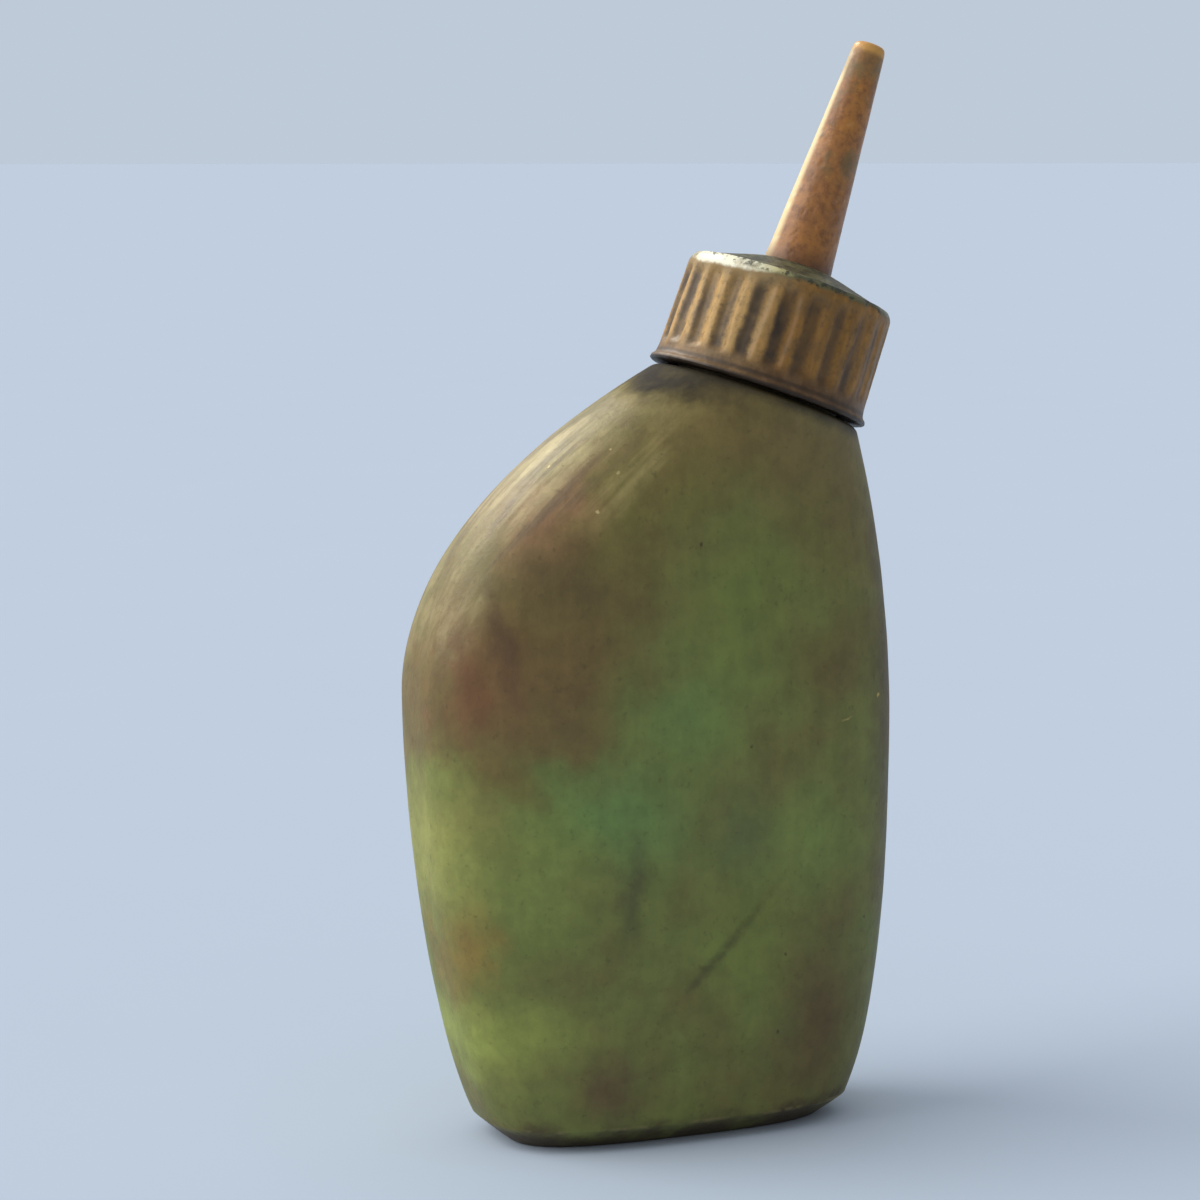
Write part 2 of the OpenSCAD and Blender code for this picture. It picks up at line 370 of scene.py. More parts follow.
def ring_skin(name, rings):
    """A closed mesh over rings that come back to the first one, as a part with a through hole has."""
    faces = grid_faces(len(rings), len(rings[0]), True)
    return make_object(name, np.concatenate(rings), faces)


def press_in(obj, depth_at):
    """Moves vertices inwards along their normals by depth_at(point in mm), so that nothing grows."""
    mesh = obj.data
    normals = np.array([n.vector for n in mesh.vertex_normals])
    points = np.array([v.co for v in mesh.vertices]) * MM
    depth = np.array([depth_at(p) for p in points])
    mesh.vertices.foreach_set("co", ((points - normals * depth[:, None]) / MM).astype(np.float32).ravel())
    mesh.update()


def swell(p, scale, seed):
    """Smooth noise from 0 to 1 at a point, with features about 1/scale mm wide."""
    value = 1.4 * noise.noise(Vector(p) * scale + Vector((seed, 3.1 * seed, 7.7)))
    return 0.5 + 0.5 * max(-1.0, min(1.0, value))


def neck_frame(p):
    """(radius, height) of a point in the neck's own frame."""
    d = np.asarray(p) - NECK
    return math.hypot(d @ ACROSS, d @ DEPTH), d @ UP


# ---------------------------------------------------------------- the pieces


def make_bottle():
    """One hollow glass skin: base, sides, shoulder, threaded neck, lip, bore and cavity."""
    rings = foot_rings()
    rings += land_rings()
    rings += neck_rings()
    rings += cavity_rings()
    return capped_skin("glass_bottle", rings)


def foot_rings():
    """The underside, the base's chamfer with both its edges rounded, and the sides."""
    corner_cut = 0.05
    side_cut = 0.003
    foot_in = BASE_EDGE_IN + 0.3
    rings = [section_ring(xz(-x, 0.0), xz(x, 0.0), d, SQUARENESS) for x, d in UNDERSIDE_RINGS]
    before_foot = section_ring(xz(BASE_LEFT_X + foot_in, 0.0), xz(BASE_RIGHT_X - foot_in, 0.0),
                               BASE_HALF_D - foot_in, SQUARENESS)
    rings += turn(before_foot, edge_ring(0), edge_ring(corner_cut), steps=5)
    rings += [edge_ring(v) for v in np.linspace(corner_cut, 1 - corner_cut, 9)[1:-1]]
    rings += turn(edge_ring(1 - corner_cut), edge_ring(1), body_ring(side_cut), steps=6)
    return rings + [body_ring(u) for u in np.linspace(side_cut, TOP_U, 120)[1:]]


def land_rings():
    """The turn from the top of the sides onto the flat land under the cap."""
    corner = around_neck(LAND_R + 0.35, LAND_S, BODY_COLUMNS)
    inside = around_neck(LAND_R - 0.4, LAND_S, BODY_COLUMNS)
    return turn(body_ring(TOP_U), corner, inside, steps=5)[1:]


def neck_rings():
    """From the land under the cap up the threaded neck, over the lip and down the bore."""
    angle = np.linspace(0, 2 * math.pi, BODY_COLUMNS, endpoint=False)
    bead_heights = np.linspace(LAND_S + 0.5, 2.2, 22)
    thread_heights = np.linspace(2.35, LIP_H - LIP_ROUND, 56)
    rings = [around_neck(NECK_R + 0.5, LAND_S, BODY_COLUMNS),
             around_neck(NECK_R + 0.15, LAND_S + 0.12, BODY_COLUMNS)]
    for s in np.concatenate([bead_heights, thread_heights]):
        r = helix_radius(angle, s, bead_radius(s), NECK_THREAD_S, NECK_THREAD_ROOT, NECK_THREAD_CREST)
        rings.append(around_neck(r, s, BODY_COLUMNS))
    for a in np.linspace(0, math.pi / 2, 7)[1:]:
        r = NECK_R - LIP_ROUND * (1 - math.cos(a))
        rings.append(around_neck(r, LIP_H - LIP_ROUND * (1 - math.sin(a)), BODY_COLUMNS))
    bore = soften([(NECK_R - LIP_ROUND, LIP_H, 0), (MOUTH_R, LIP_H, 0.4), (MOUTH_R, CEILING_S, 0)],
                  closed=False)
    rings += [around_neck(r, s, BODY_COLUMNS) for r, s in fill(bore, 1.0, closed=False)[1:]]
    return rings


def bead_radius(s):
    """The neck's plain radius at a height, with the small bead under the thread."""
    across = BEAD_R ** 2 - (s - BEAD_S) ** 2
    return NECK_R + (BEAD_OUT + math.sqrt(across) if across > 0 else 0.0)


def cavity_rings():
    """From the bore's lower end out under the shoulder and down to the cavity's floor."""
    left, right = side_at(LEFT, CAVITY_TOP_U, WALL, 1), side_at(RIGHT, CAVITY_TOP_U, WALL, -1)
    throat = NECK_XZ + CEILING_S * UP_XZ
    rings = []
    for a in np.linspace(math.pi / 2, 0, 9)[1:]:
        share = 1 - math.cos(a)
        rise = (math.sin(a) - share) * CAVITY_RISE * UP_XZ
        rings.append(section_ring(mix(left, throat - MOUTH_R * ACROSS_XZ, share) + rise,
                                  mix(right, throat + MOUTH_R * ACROSS_XZ, share) + rise,
                                  mix(half_depth(CAVITY_TOP_U) - WALL, MOUTH_R, share),
                                  mix(squareness(CAVITY_TOP_U), 2.0, share)))
    rings += [body_ring(u, WALL) for u in np.linspace(CAVITY_TOP_U, 0, 40)[1:]]
    rings += [edge_ring(v, WALL, FLOOR_H) for v in np.linspace(1, 0, 5)[1:]]
    return rings


def hand_blown(p):
    """Shallow unevenness of the glass, which fades out at the foot and under the cap."""
    s = neck_frame(p)[1]
    fade = ease((p[2] - 0.3) / 4.0) * ease((-0.9 - s) / 3.0)
    return fade * (0.16 * swell(p, scale=0.05, seed=1.0) + 0.06 * swell(p, scale=0.16, seed=2.0))


def rib_profile(angle, s, depths):
    """How far the skirt is cut in at each angle. depths is each groove's (depth, lift, drop)."""
    around = (angle - GROOVE_TURN) * RIBS
    index = np.round(around / (2 * math.pi)).astype(int) % RIBS
    around = around + GROOVE_WANDER * np.sin(0.35 * s + 1.7 * index)
    shape = ease(0.55 + 0.6 * np.cos(around))
    low = GROOVE_LOW_S + depths[1][index]
    high = GROOVE_HIGH_S - depths[2][index]
    ends = ease((s - low) / GROOVE_FADE_LOW) * ease((high - s) / GROOVE_FADE_HIGH)
    side = (np.cos(angle - RUBBED_TURN) - RUBBED_EDGE[0]) / (RUBBED_EDGE[1] - RUBBED_EDGE[0])
    rubbed = 1 - RUBBED_AMOUNT * ease(side)
    return shape * ends * rubbed * depths[0][index]


def cap_profile():
    """The cap's whole section: up the outside, in to the centre hole, and down the inside."""
    skirt = [(SKIRT_R, 0, 0.15), (RIM_R - 0.35, 0, 0.12), (RIM_R, 0.3, 0.12), (RIM_R - 0.1, 0.72, 0.2),
             (CAP_R + 0.45, 1.1, 0.3), (CAP_R + 0.28, 2.0, 0.4), (CAP_R, CAP_H - 0.3, 0.2)]
    edge = [(CAP_R - 0.2, CAP_H + 0.25, 0.14), (CAP_R - 0.62, CAP_H + 0.74, 0.12),
            (CAP_R - 1.05, CAP_H + 0.78, 0.15), (CAP_R - 1.6, CAP_H + 0.84, 0.3)]
    cone = [(SPOUT_HOLE_R + 2.0, CONE_H - 0.64, 1.5), (SPOUT_HOLE_R, CONE_H - 0.1, 0.35),
            (SPOUT_HOLE_R, INNER_TOP_S, 0.1), (SKIRT_R, INNER_TOP_S, 0.25)]
    return fill(soften(skirt + edge + cone, steps=4), PROFILE_STEP)


def make_cap():
    """The ribbed skirt, flared rim, worn top edge, shallow cone, centre hole and inner thread."""
    draws = np.random.default_rng(CAP_SEED)
    depths = (GROOVE_DEPTH * draws.uniform(0.86, 1.0, RIBS), draws.uniform(0.0, 0.25, RIBS),
              draws.uniform(0.0, 0.4, RIBS))
    angle = np.linspace(0, 2 * math.pi, CAP_COLUMNS, endpoint=False)
    rings = []
    for r, s in cap_profile():
        ring_r = np.full(CAP_COLUMNS, r)
        on_ribs = r > CAP_R - 0.3 and 1.5 < s < CAP_H
        in_skirt = abs(r - SKIRT_R) < 0.01 and 0.5 < s < INNER_TOP_S - 0.5
        if on_ribs:
            ring_r = ring_r - rib_profile(angle, s, depths)
        if in_skirt:
            ring_r = helix_radius(angle, s, SKIRT_R, CAP_THREAD_S, CAP_THREAD_ROOT, CAP_THREAD_CREST)
        rings.append(around_neck(ring_r, s, CAP_COLUMNS))
    return ring_skin("ribbed_cap", rings)


def worn_cap(p):
    """Small dents and wear on the cap's outside, most of it along the rim and the top edge."""
    r, s = neck_frame(p)
    if r < CAP_R - 1.5 and s < INNER_TOP_S + 1:
        return 0.0
    rim = ease((1.6 - s) / 1.2) * 0.10 * swell(p, scale=0.55, seed=5.0)
    edge = ease(1 - abs(s - CAP_H) / 1.2) * 0.16 * swell(p, scale=0.4, seed=6.0) ** 2
    return 0.04 * swell(p, scale=0.9, seed=4.0) + rim + edge


def make_spout():
    """Plug, flange, shank and tapered barrel with a funnel and a drip hole through them."""
    end_s = TIP_H - 0.1
    plug = [(PLUG_BORE_R, PLUG_S, 0.2), (PLUG_R - PLUG_CHAMFER[0], PLUG_S, 0.15),
            (PLUG_R, PLUG_S + PLUG_CHAMFER[1], 0.2), (PLUG_R, FLANGE_S, 0.1)]
    flange = [(FLANGE_R, FLANGE_S, 0.2), (FLANGE_R, FLANGE_S + FLANGE_H, 0.2),
              (SPOUT_BASE_R, FLANGE_S + FLANGE_H, 0.1)]
    barrel = [(SPOUT_BASE_R, CONE_H, 0.5), (SPOUT_TIP_R - 0.04, end_s, 1.05), (DRIP_R, end_s, 0.15)]
    passage = [(DRIP_R, TIP_H - DRIP_LENGTH, 0.5), (FUNNEL_HIGH_R, CONE_H - 0.8, 0.5),
               (FUNNEL_LOW_R, FLANGE_S + 0.8, 0.4), (PLUG_BORE_R, LIP_H - 0.4, 0.5)]
    profile = fill(soften(plug + flange + barrel + passage), PROFILE_STEP)
    return ring_skin("drip_spout", [around_neck(r, s, SPOUT_COLUMNS) for r, s in profile])


def pitted_spout(p):
    """The barrel's uneven moulding, and fine pits that gather near its foot."""
    r, s = neck_frame(p)
    wall_r = mix(SPOUT_BASE_R, SPOUT_TIP_R, (s - CONE_H) / (TIP_H - CONE_H))
    if s < CONE_H + 0.3 or r < wall_r - 0.5:
        return 0.0
    pit = max(0.0, swell(p, scale=1.15, seed=8.0) - 0.72) * 0.55
    dent = 0.07 * swell(p, scale=0.22, seed=9.0)
    low = ease((CONE_H + 20 - s) / 14)
    return ease((s - CONE_H - 0.3) / 1.5) * (dent + pit * mix(0.3, 1.0, low))


def make_washer():
    profile = soften([(WASHER_INNER_R, WASHER_S, 0.2), (WASHER_OUTER_R, WASHER_S, 0.3),
                      (WASHER_OUTER_R, WASHER_S + WASHER_H, 0.3),
                      (WASHER_INNER_R, WASHER_S + WASHER_H, 0.2)])
    rings = [around_neck(r, s, WASHER_COLUMNS) for r, s in fill(profile, 0.5)]
    return ring_skin("rubber_washer", rings)


# ---------------------------------------------------------------- material helpers


def srgb(red, green, blue):
    """A colour given as it looks on a screen, 0 to 255, turned into light."""
    def linear(v):
        v = v / 255
        return v / 12.92 if v <= 0.04045 else ((v + 0.055) / 1.055) ** 2.4
    return (linear(red), linear(green), linear(blue), 1.0)


MIDDLE_GREY = (0.5, 0.5, 0.5)
ANY_DEPTH = 1e4


class Nodes:
    """Builds one material's node tree. Values may be numbers, colours or other nodes' outputs."""

    def __init__(self, name):
        self.material = bpy.data.materials.new(name)
        self.material.use_nodes = True
        self.tree = self.material.node_tree
        self.tree.nodes.clear()

    def add(self, kind, inputs=None, **settings):
        made = self.tree.nodes.new("ShaderNode" + kind)
        for key, value in settings.items():
            setattr(made, key, value)
        for key, value in (inputs or {}).items():
            if isinstance(value, bpy.types.NodeSocket):
                self.tree.links.new(value, made.inputs[key])
            else:
                made.inputs[key].default_value = value
        return made

    def framed(self, at, middle=(0, 0, 0), turn=(0, 0, 0), size=(1, 1, 1)):
        """The place as measured in a frame with this middle, turn and size."""
        inputs = {"Vector": at, "Location": middle, "Rotation": turn, "Scale": size}
        return self.add("Mapping", inputs, vector_type="TEXTURE").outputs[0]

    def place(self):
        """Position on the piece in millimetres; it moves with the piece."""
        return self.scaled(self.add("TexCoord").outputs["Object"], MM)

    def neck_place(self):
        """Position in the neck's own upright frame, in millimetres."""
        return self.framed(self.place(), middle=tuple(NECK), turn=(0, LEAN, 0))

    def parts(self, vector):
        return self.add("SeparateXYZ", {0: vector}).outputs

    def vector(self, x, y, z):
        return self.add("CombineXYZ", {0: x, 1: y, 2: z}).outputs[0]

    def vector_math(self, operation, a, b):
        return self.add("VectorMath", {0: a, 1: b}, operation=operation).outputs[0]

    def scaled(self, vector, amount):
        return self.add("VectorMath", {0: vector, "Scale": amount}, operation="SCALE").outputs[0]

    def math(self, operation, a, b=0.0):
        return self.add("Math", {0: a, 1: b}, operation=operation).outputs[0]

    def times(self, a, b):
        return self.math("MULTIPLY", a, b)

    def plus(self, a, b):
        return self.math("ADD", a, b)

    def step(self, value, low, high, out_low=0.0, out_high=1.0):
        """Eases from out_low to out_high as value goes from low to high."""
        return self.add("MapRange", {0: value, 1: low, 2: high, 3: out_low, 4: out_high},
                        interpolation_type="SMOOTHSTEP").outputs[0]

    def side(self, angle, turn):
        """1 on the side of the piece that lies at turn, and -1 on the side opposite."""
        return self.math("COSINE", self.plus(angle, -turn))

    def blend(self, factor, a, b, mode="MIX"):
        return self.add("Mix", {0: factor, 6: a, 7: b}, data_type="RGBA", blend_type=mode,
                        clamp_factor=True).outputs[2]

    def noise(self, at, scale, detail, rough, stretch=(1, 1, 1), turn=(0, 0, 0), shift=(0, 0, 0)):
        """Noise from 0 to 1 as a value and a colour. scale is in waves per millimetre."""
        if stretch != (1, 1, 1) or shift != (0, 0, 0) or turn != (0, 0, 0):
            at = self.framed(at, middle=shift, turn=turn, size=stretch)
        return self.add("TexNoise", {"Vector": at, "Scale": scale, "Detail": detail,
                                     "Roughness": rough}).outputs

    def spot(self, at, centre, size, climb_deg):
        """1 at the middle of an oval in the XZ plane, 0 at its edge. Its first axis climbs by climb_deg."""
        seen = self.framed(at, middle=(centre[0], 0, centre[1]), turn=(0, math.radians(-climb_deg), 0),
                           size=(size[0], ANY_DEPTH, size[1]))
        far = self.add("VectorMath", {0: seen}, operation="LENGTH").outputs["Value"]
        return self.step(far, 0.0, 1.0, 1.0, 0.0)

    def bump(self, height, distance, strength, under=None):
        """A bumped normal. distance is in metres, and under is a normal that it adds to."""
        inputs = {"Height": height, "Distance": distance, "Strength": strength}
        if under is not None:
            inputs["Normal"] = under
        return self.add("Bump", inputs).outputs[0]

    def finish(self, colour, roughness, normal, specular):
        shader = self.add("BsdfPrincipled", {"Base Color": colour, "Roughness": roughness,
                                             "Normal": normal, "Specular IOR Level": specular})
        self.add("OutputMaterial", {0: shader.outputs[0]})
        return self.material


# ---------------------------------------------------------------- the bottle's painted glass

OLIVE_LOW = srgb(112, 119, 57)
OLIVE_HIGH = srgb(114, 106, 54)
MOTTLE_BROWN = srgb(108, 90, 48)
BURNT_BROWN = srgb(116, 82, 50)
STREAK_UMBER = srgb(98, 82, 64)
FOOT_GRIME = srgb(62, 46, 28)
EDGE_RUBBED = srgb(132, 120, 76)
# Painted shade under the cap's rim
NECK_RIM_SHADE = srgb(38, 32, 24)
GLASS_GRIME = srgb(66, 58, 36)
SCRATCH_DARK = srgb(56, 52, 32)
SCRATCH_PALE = srgb(166, 150, 84)
CHIP_TAN = srgb(196, 172, 88)
GLINT_CREAM = srgb(236, 214, 150)
NICK_BROWN = srgb(52, 44, 30)

# Stains, blooms and wear on the bottle, with a painted shade and a painted highlight among them: (x, z) of
# the middle, (half width, half height), climb in degrees, colour, strength
GREEN_BLOOMS = [
    ((6, 72), (16, 22), 0, (112, 132, 58), 0.6),
    ((-3, 57), (15, 14), 30, (114, 138, 67), 0.65),
    ((-13, 45), (17, 10), -15, (104, 140, 74), 0.65),
    ((-4, 58), (8, 7), 20, (92, 124, 66), 0.3),
    ((15, 41), (12, 12), 0, (118, 136, 66), 0.6),
    ((6, 27), (11, 18), 10, (116, 128, 54), 0.55),
    ((5, 41), (8, 11), 0, (84, 98, 60), 0.5),
    ((-35, 41), (13, 15), 0, (158, 156, 80), 0.75),
    ((-22, 38), (12, 17), 0, (130, 144, 68), 0.65),
    ((-28.5, 15), (8, 19), 98, (146, 154, 72), 0.8),
]
BROWN_STAINS_AND_EDGE_SHADE = [
    ((-20, 72), (19, 16), 30, (112, 92, 52), 0.7),
    ((-28, 65), (9, 15), 0, (122, 88, 52), 0.7),
    ((-18, 64), (12, 13), 0, (112, 90, 48), 0.5),
    ((-19, 76), (9, 7), 35, (92, 74, 46), 0.5),
    ((-18.5, 84.5), (13, 3.4), 44, (160, 108, 80), 0.5),
    ((-20, 82), (13, 7), 42, (140, 100, 70), 0.4),
    ((-31.5, 61), (3.2, 12), 0, (118, 58, 42), 0.55),
    ((-27, 66), (3.2, 13), 8, (74, 56, 40), 0.6),
    ((-26, 50), (9, 4), -30, (116, 90, 46), 0.5),
    ((-10.7, 36), (3.2, 12), 0, (72, 70, 44), 0.55),
    ((-29.5, 27), (4, 11), 0, (150, 116, 54), 0.6),
    ((18, 15), (12, 20), 0, (96, 76, 42), 0.85),
    ((-12, 8), (7, 8), 0, (96, 70, 48), 0.7),
    # Painted shade: a dark strip down the right edge, where the side turns away from the light
    ((30, 60), (7, 60), 0, (86, 68, 32), 0.9),
    ((10, 93), (24, 13), -20, (118, 98, 56), 0.7),
    ((17, 62), (11, 8), 10, (104, 88, 46), 0.5),
    ((-3, 101), (16, 5.2), -22, (30, 24, 23), 1.0),
]
# Pale patches on the left shoulder: a painted highlight, broken up by rubbed wear
PALE_WEAR_AND_HIGHLIGHT = [
    ((-17, 91), (24, 6.5), 43, (200, 184, 136), 0.65),
    ((-32, 73), (12, 5.0), 66, (178, 162, 118), 0.45),
    ((-9, 89), (15, 4.0), 38, (178, 160, 104), 0.5),
]

# Ovals on the bottle: (x, z) of the middle, (half width, half height), climb in degrees
SHOULDER_BAND = ((-21, 85), (24, 10), 46)
SOOTY_PATCH = ((-3, 101), (18, 7), -22)
DARK_SCRATCH = ((2.3, 25.9), (16, 1.2), 47)
LIGHT_SCRATCH = ((20.7, 55.4), (1.5, 0.22), 8)

# Bounds of the burnt zone: it starts sharply over a line, and fades further up and to the right
BURNT_LOW_Z = (50.0, 54.0)
BURNT_HIGH_Z = (60.0, 74.0)
BURNT_RIGHT_X = (-20.0, -10.0)

WANDER_FRONT = 2.5
WANDER_BACK = 34.0
WANDER_FINE = 9.0
ALONG_SHOULDER = (0, math.radians(-44), 0)


def wandering(nodes, at):
    """The place pushed about by noise, more on the back than on the front, so that they differ."""
    broad = nodes.noise(at, scale=0.035, detail=2.0, rough=0.55)[1]
    fine = nodes.noise(at, scale=0.16, detail=4.0, rough=0.6)[1]
    reach = nodes.step(nodes.parts(at)[1], -2.0, 12.0, WANDER_FRONT, WANDER_BACK)
    moved = nodes.scaled(nodes.vector_math("SUBTRACT", broad, MIDDLE_GREY), reach)
    moved = nodes.vector_math("ADD", at, moved)
    near = nodes.scaled(nodes.vector_math("SUBTRACT", fine, MIDDLE_GREY), WANDER_FINE)
    return nodes.vector_math("ADD", moved, near)


def paint_ovals(nodes, colour, at, stains, broken=1.0):
    for centre, size, climb, tint, strength in stains:
        inside = nodes.times(nodes.spot(at, centre, size, climb), strength)
        colour = nodes.blend(nodes.times(inside, broken), colour, srgb(*tint))
    return colour


def flecks(nodes, at, density, reach, rarity):
    """Small scattered chips: 1 inside a chip and 0 outside. density is in cells per millimetre."""
    cells = nodes.add("TexVoronoi", {"Vector": at, "Scale": density, "Randomness": 1.0}).outputs
    chosen = nodes.step(nodes.parts(cells["Color"])[0], rarity, rarity + 0.02)
    return nodes.times(nodes.step(cells["Distance"], reach * 0.5, reach, 1.0, 0.0), chosen)


def glass_paint(nodes, moved, mottle):
    """Olive paint with a brown mottle, green blooms, brown stains, painted shade down the right edge and a
    burnt zone at the left.
    """
    place = nodes.parts(moved)
    olive = nodes.blend(nodes.step(place[2], 40, 92), OLIVE_LOW, OLIVE_HIGH)
    colour = nodes.blend(nodes.step(mottle, 0.36, 0.72, 0.0, 0.6), olive, MOTTLE_BROWN)
    colour = paint_ovals(nodes, colour, moved, GREEN_BLOOMS)
    colour = paint_ovals(nodes, colour, moved, BROWN_STAINS_AND_EDGE_SHADE)
    burnt = nodes.times(nodes.step(place[2], *BURNT_LOW_Z), nodes.step(place[2], *BURNT_HIGH_Z, 0.5, 0.0))
    burnt = nodes.times(burnt, nodes.step(place[0], *BURNT_RIGHT_X, 1.0, 0.0))
    return nodes.blend(burnt, colour, BURNT_BROWN)


def shoulder_highlight_and_wear(nodes, colour, at, moved, band):
    """A painted highlight of pale patches broken up by rubbed wear, and dark drawn streaks, both along the
    slope of the shoulder.
    """
    rubbed = nodes.noise(at, scale=0.42, detail=5.0, rough=0.6, stretch=(11, 1, 1), turn=ALONG_SHOULDER)[0]
    colour = paint_ovals(nodes, colour, moved, PALE_WEAR_AND_HIGHLIGHT, nodes.step(rubbed, 0.38, 0.62, 0.2, 1.0))
    drawn = nodes.noise(at, scale=0.36, detail=5.0, rough=0.6, stretch=(13, 1, 1), turn=ALONG_SHOULDER,
                        shift=(0, 0, 23))[0]
    drawn = nodes.times(nodes.step(drawn, 0.50, 0.62, 0.0, 0.6), band)
    return nodes.blend(drawn, colour, STREAK_UMBER)


def foot_wear(nodes, colour, at, moved, mottle, cloud):
    """Grime round the foot, and paint rubbed thin along the base's edge."""
    foot = nodes.plus(nodes.parts(moved)[2], nodes.times(mottle, -5.0))
    foot = nodes.step(foot, -2.2, 1.6, 1.0, 0.0)
    colour = nodes.blend(nodes.times(foot, 0.92), colour, FOOT_GRIME)
    from_edge = nodes.math("ABSOLUTE", nodes.math("SUBTRACT", nodes.parts(at)[2], BASE_EDGE_H))
    rubbed = nodes.times(nodes.step(from_edge, 0.1, 0.5, 0.7, 0.0), nodes.step(cloud, 0.48, 0.6))
    return nodes.blend(rubbed, colour, EDGE_RUBBED)


def under_cap_shade(nodes, colour, cloud):
    """Painted shade in the gap under the cap's rim, weaker further up the neck."""
    s = nodes.parts(nodes.neck_place())[2]
    rim_shade = nodes.step(nodes.plus(s, nodes.times(cloud, 1.4)), -1.9, 0.0, 0.0, 0.8)
    rim_shade = nodes.times(rim_shade, nodes.step(s, -0.3, 1.2, 1.0, 0.25))
    return nodes.blend(rim_shade, colour, NECK_RIM_SHADE)


def glass_tone(nodes, colour, at, cloud, grime):
    """Upright streaks and clouds of lighter and darker paint, with fine grime over them."""
    streak = nodes.noise(at, scale=0.6, detail=4.0, rough=0.6, stretch=(1, 1, 7))[0]
    tone = nodes.times(nodes.step(streak, 0.3, 0.75, 0.96, 1.05), nodes.step(cloud, 0.3, 0.7, 1.2, 0.95))
    colour = nodes.blend(1.0, colour, nodes.vector(tone, tone, tone), "MULTIPLY")
    return nodes.blend(nodes.step(grime, 0.56, 0.74, 0.0, 0.35), colour, GLASS_GRIME)


def glass_scratches(nodes, colour, at, ragged, cloud):
    """One long dark scratch and one short pale one, on the front only."""
    front = nodes.step(nodes.parts(at)[1], -3.0, 3.0, 1.0, 0.0)
    dark = nodes.times(nodes.spot(ragged, *DARK_SCRATCH), nodes.step(cloud, 0.35, 0.6, 0.15, 0.5))
    colour = nodes.blend(nodes.times(dark, front), colour, SCRATCH_DARK)
    pale = nodes.times(nodes.spot(ragged, *LIGHT_SCRATCH), front)
    return nodes.blend(pale, colour, SCRATCH_PALE)


def glass_chips(nodes, colour, ragged, band):
    """Scattered pale chips and dark nicks, and bright glints along the shoulder."""
    chips = flecks(nodes, ragged, density=0.11, reach=0.055, rarity=0.70)
    colour = nodes.blend(chips, colour, CHIP_TAN)
    glints = nodes.times(flecks(nodes, ragged, density=0.30, reach=0.10, rarity=0.72), band)
    colour = nodes.blend(glints, colour, GLINT_CREAM)
    nicks = flecks(nodes, ragged, density=0.16, reach=0.07, rarity=0.72)
    return nodes.blend(nodes.times(nicks, 0.7), colour, NICK_BROWN)


def bottle_glass_material():
    """Old painted glass: mottled olive with emerald blooms, rusty stains, wear, grime and scratches, with a
    painted highlight on the left shoulder and painted shade under the cap and down the right edge.
    """
    nodes = Nodes("bottle_glass")
    at = nodes.place()
    moved = wandering(nodes, at)
    mottle = nodes.noise(at, scale=0.10, detail=5.0, rough=0.6)[0]
    cloud = nodes.noise(at, scale=0.28, detail=5.0, rough=0.65)[0]
    grime = nodes.noise(at, scale=0.9, detail=6.0, rough=0.65)[0]
    band = nodes.spot(moved, *SHOULDER_BAND)
    shaken = nodes.noise(at, scale=0.7, detail=3.0, rough=0.6)[1]
    ragged = nodes.vector_math("ADD", nodes.vector_math("SUBTRACT", shaken, MIDDLE_GREY), at)

    colour = glass_paint(nodes, moved, mottle)
    colour = shoulder_highlight_and_wear(nodes, colour, at, moved, band)
    colour = foot_wear(nodes, colour, at, moved, mottle, cloud)
    colour = under_cap_shade(nodes, colour, cloud)
    colour = glass_tone(nodes, colour, at, cloud, grime)
    colour = glass_scratches(nodes, colour, at, ragged, cloud)
    colour = glass_chips(nodes, colour, ragged, band)

    sooty = nodes.spot(moved, *SOOTY_PATCH)
    roughness = nodes.plus(nodes.times(grime, 0.20), nodes.step(sooty, 0.0, 0.8, 0.41, 0.75))
    dents = nodes.bump(cloud, distance=0.0004, strength=0.35)
    normal = nodes.bump(grime, distance=0.00012, strength=0.5, under=dents)
    return nodes.finish(colour, roughness, normal, specular=0.38)


# ---------------------------------------------------------------- the cap's worn moulding

RIB_OCHRE = srgb(138, 96, 40)
RIB_AMBER = srgb(168, 120, 52)
RIB_WORN = srgb(122, 90, 48)
RIB_SHADED = srgb(106, 80, 42)
RIB_HIGHLIGHT = srgb(226, 186, 120)
GREASE_DARK = srgb(56, 44, 33)
GREASE_HIGHLIT = srgb(92, 76, 57)
RIM_UMBER = srgb(64, 46, 32)
RIM_TAN = srgb(104, 78, 54)
CREASE_SHADE = srgb(40, 30, 24)
DUST_GREY = srgb(108, 100, 76)
DIRT_BROWN = srgb(66, 56, 42)
UNDERSIDE_SHADE = srgb(34, 26, 20)
CONE_DARK = srgb(70, 72, 52)
CONE_LIGHT = srgb(104, 102, 70)
BEVEL_HIGHLIGHT_CREAM = srgb(206, 196, 138)
BEVEL_GLARE_WHITE = srgb(255, 250, 222)
DASH_BLACK = srgb(36, 36, 26)
RIDGE_HIGHLIGHT = srgb(226, 224, 186)

# Sides of the cap and the spout, as angles around the neck: where their painted highlights and the cap's
# painted shade are centred
CAP_HIGHLIGHT_TURN = math.radians(-160)
CAP_SHADE_TURN = math.radians(-105)
SPOUT_HIGHLIGHT_TURN = math.radians(-197)

CREASE_S = 1.35
BEVEL_R = (12.85, 13.2)
RIDGE_R = CAP_R - 1.15


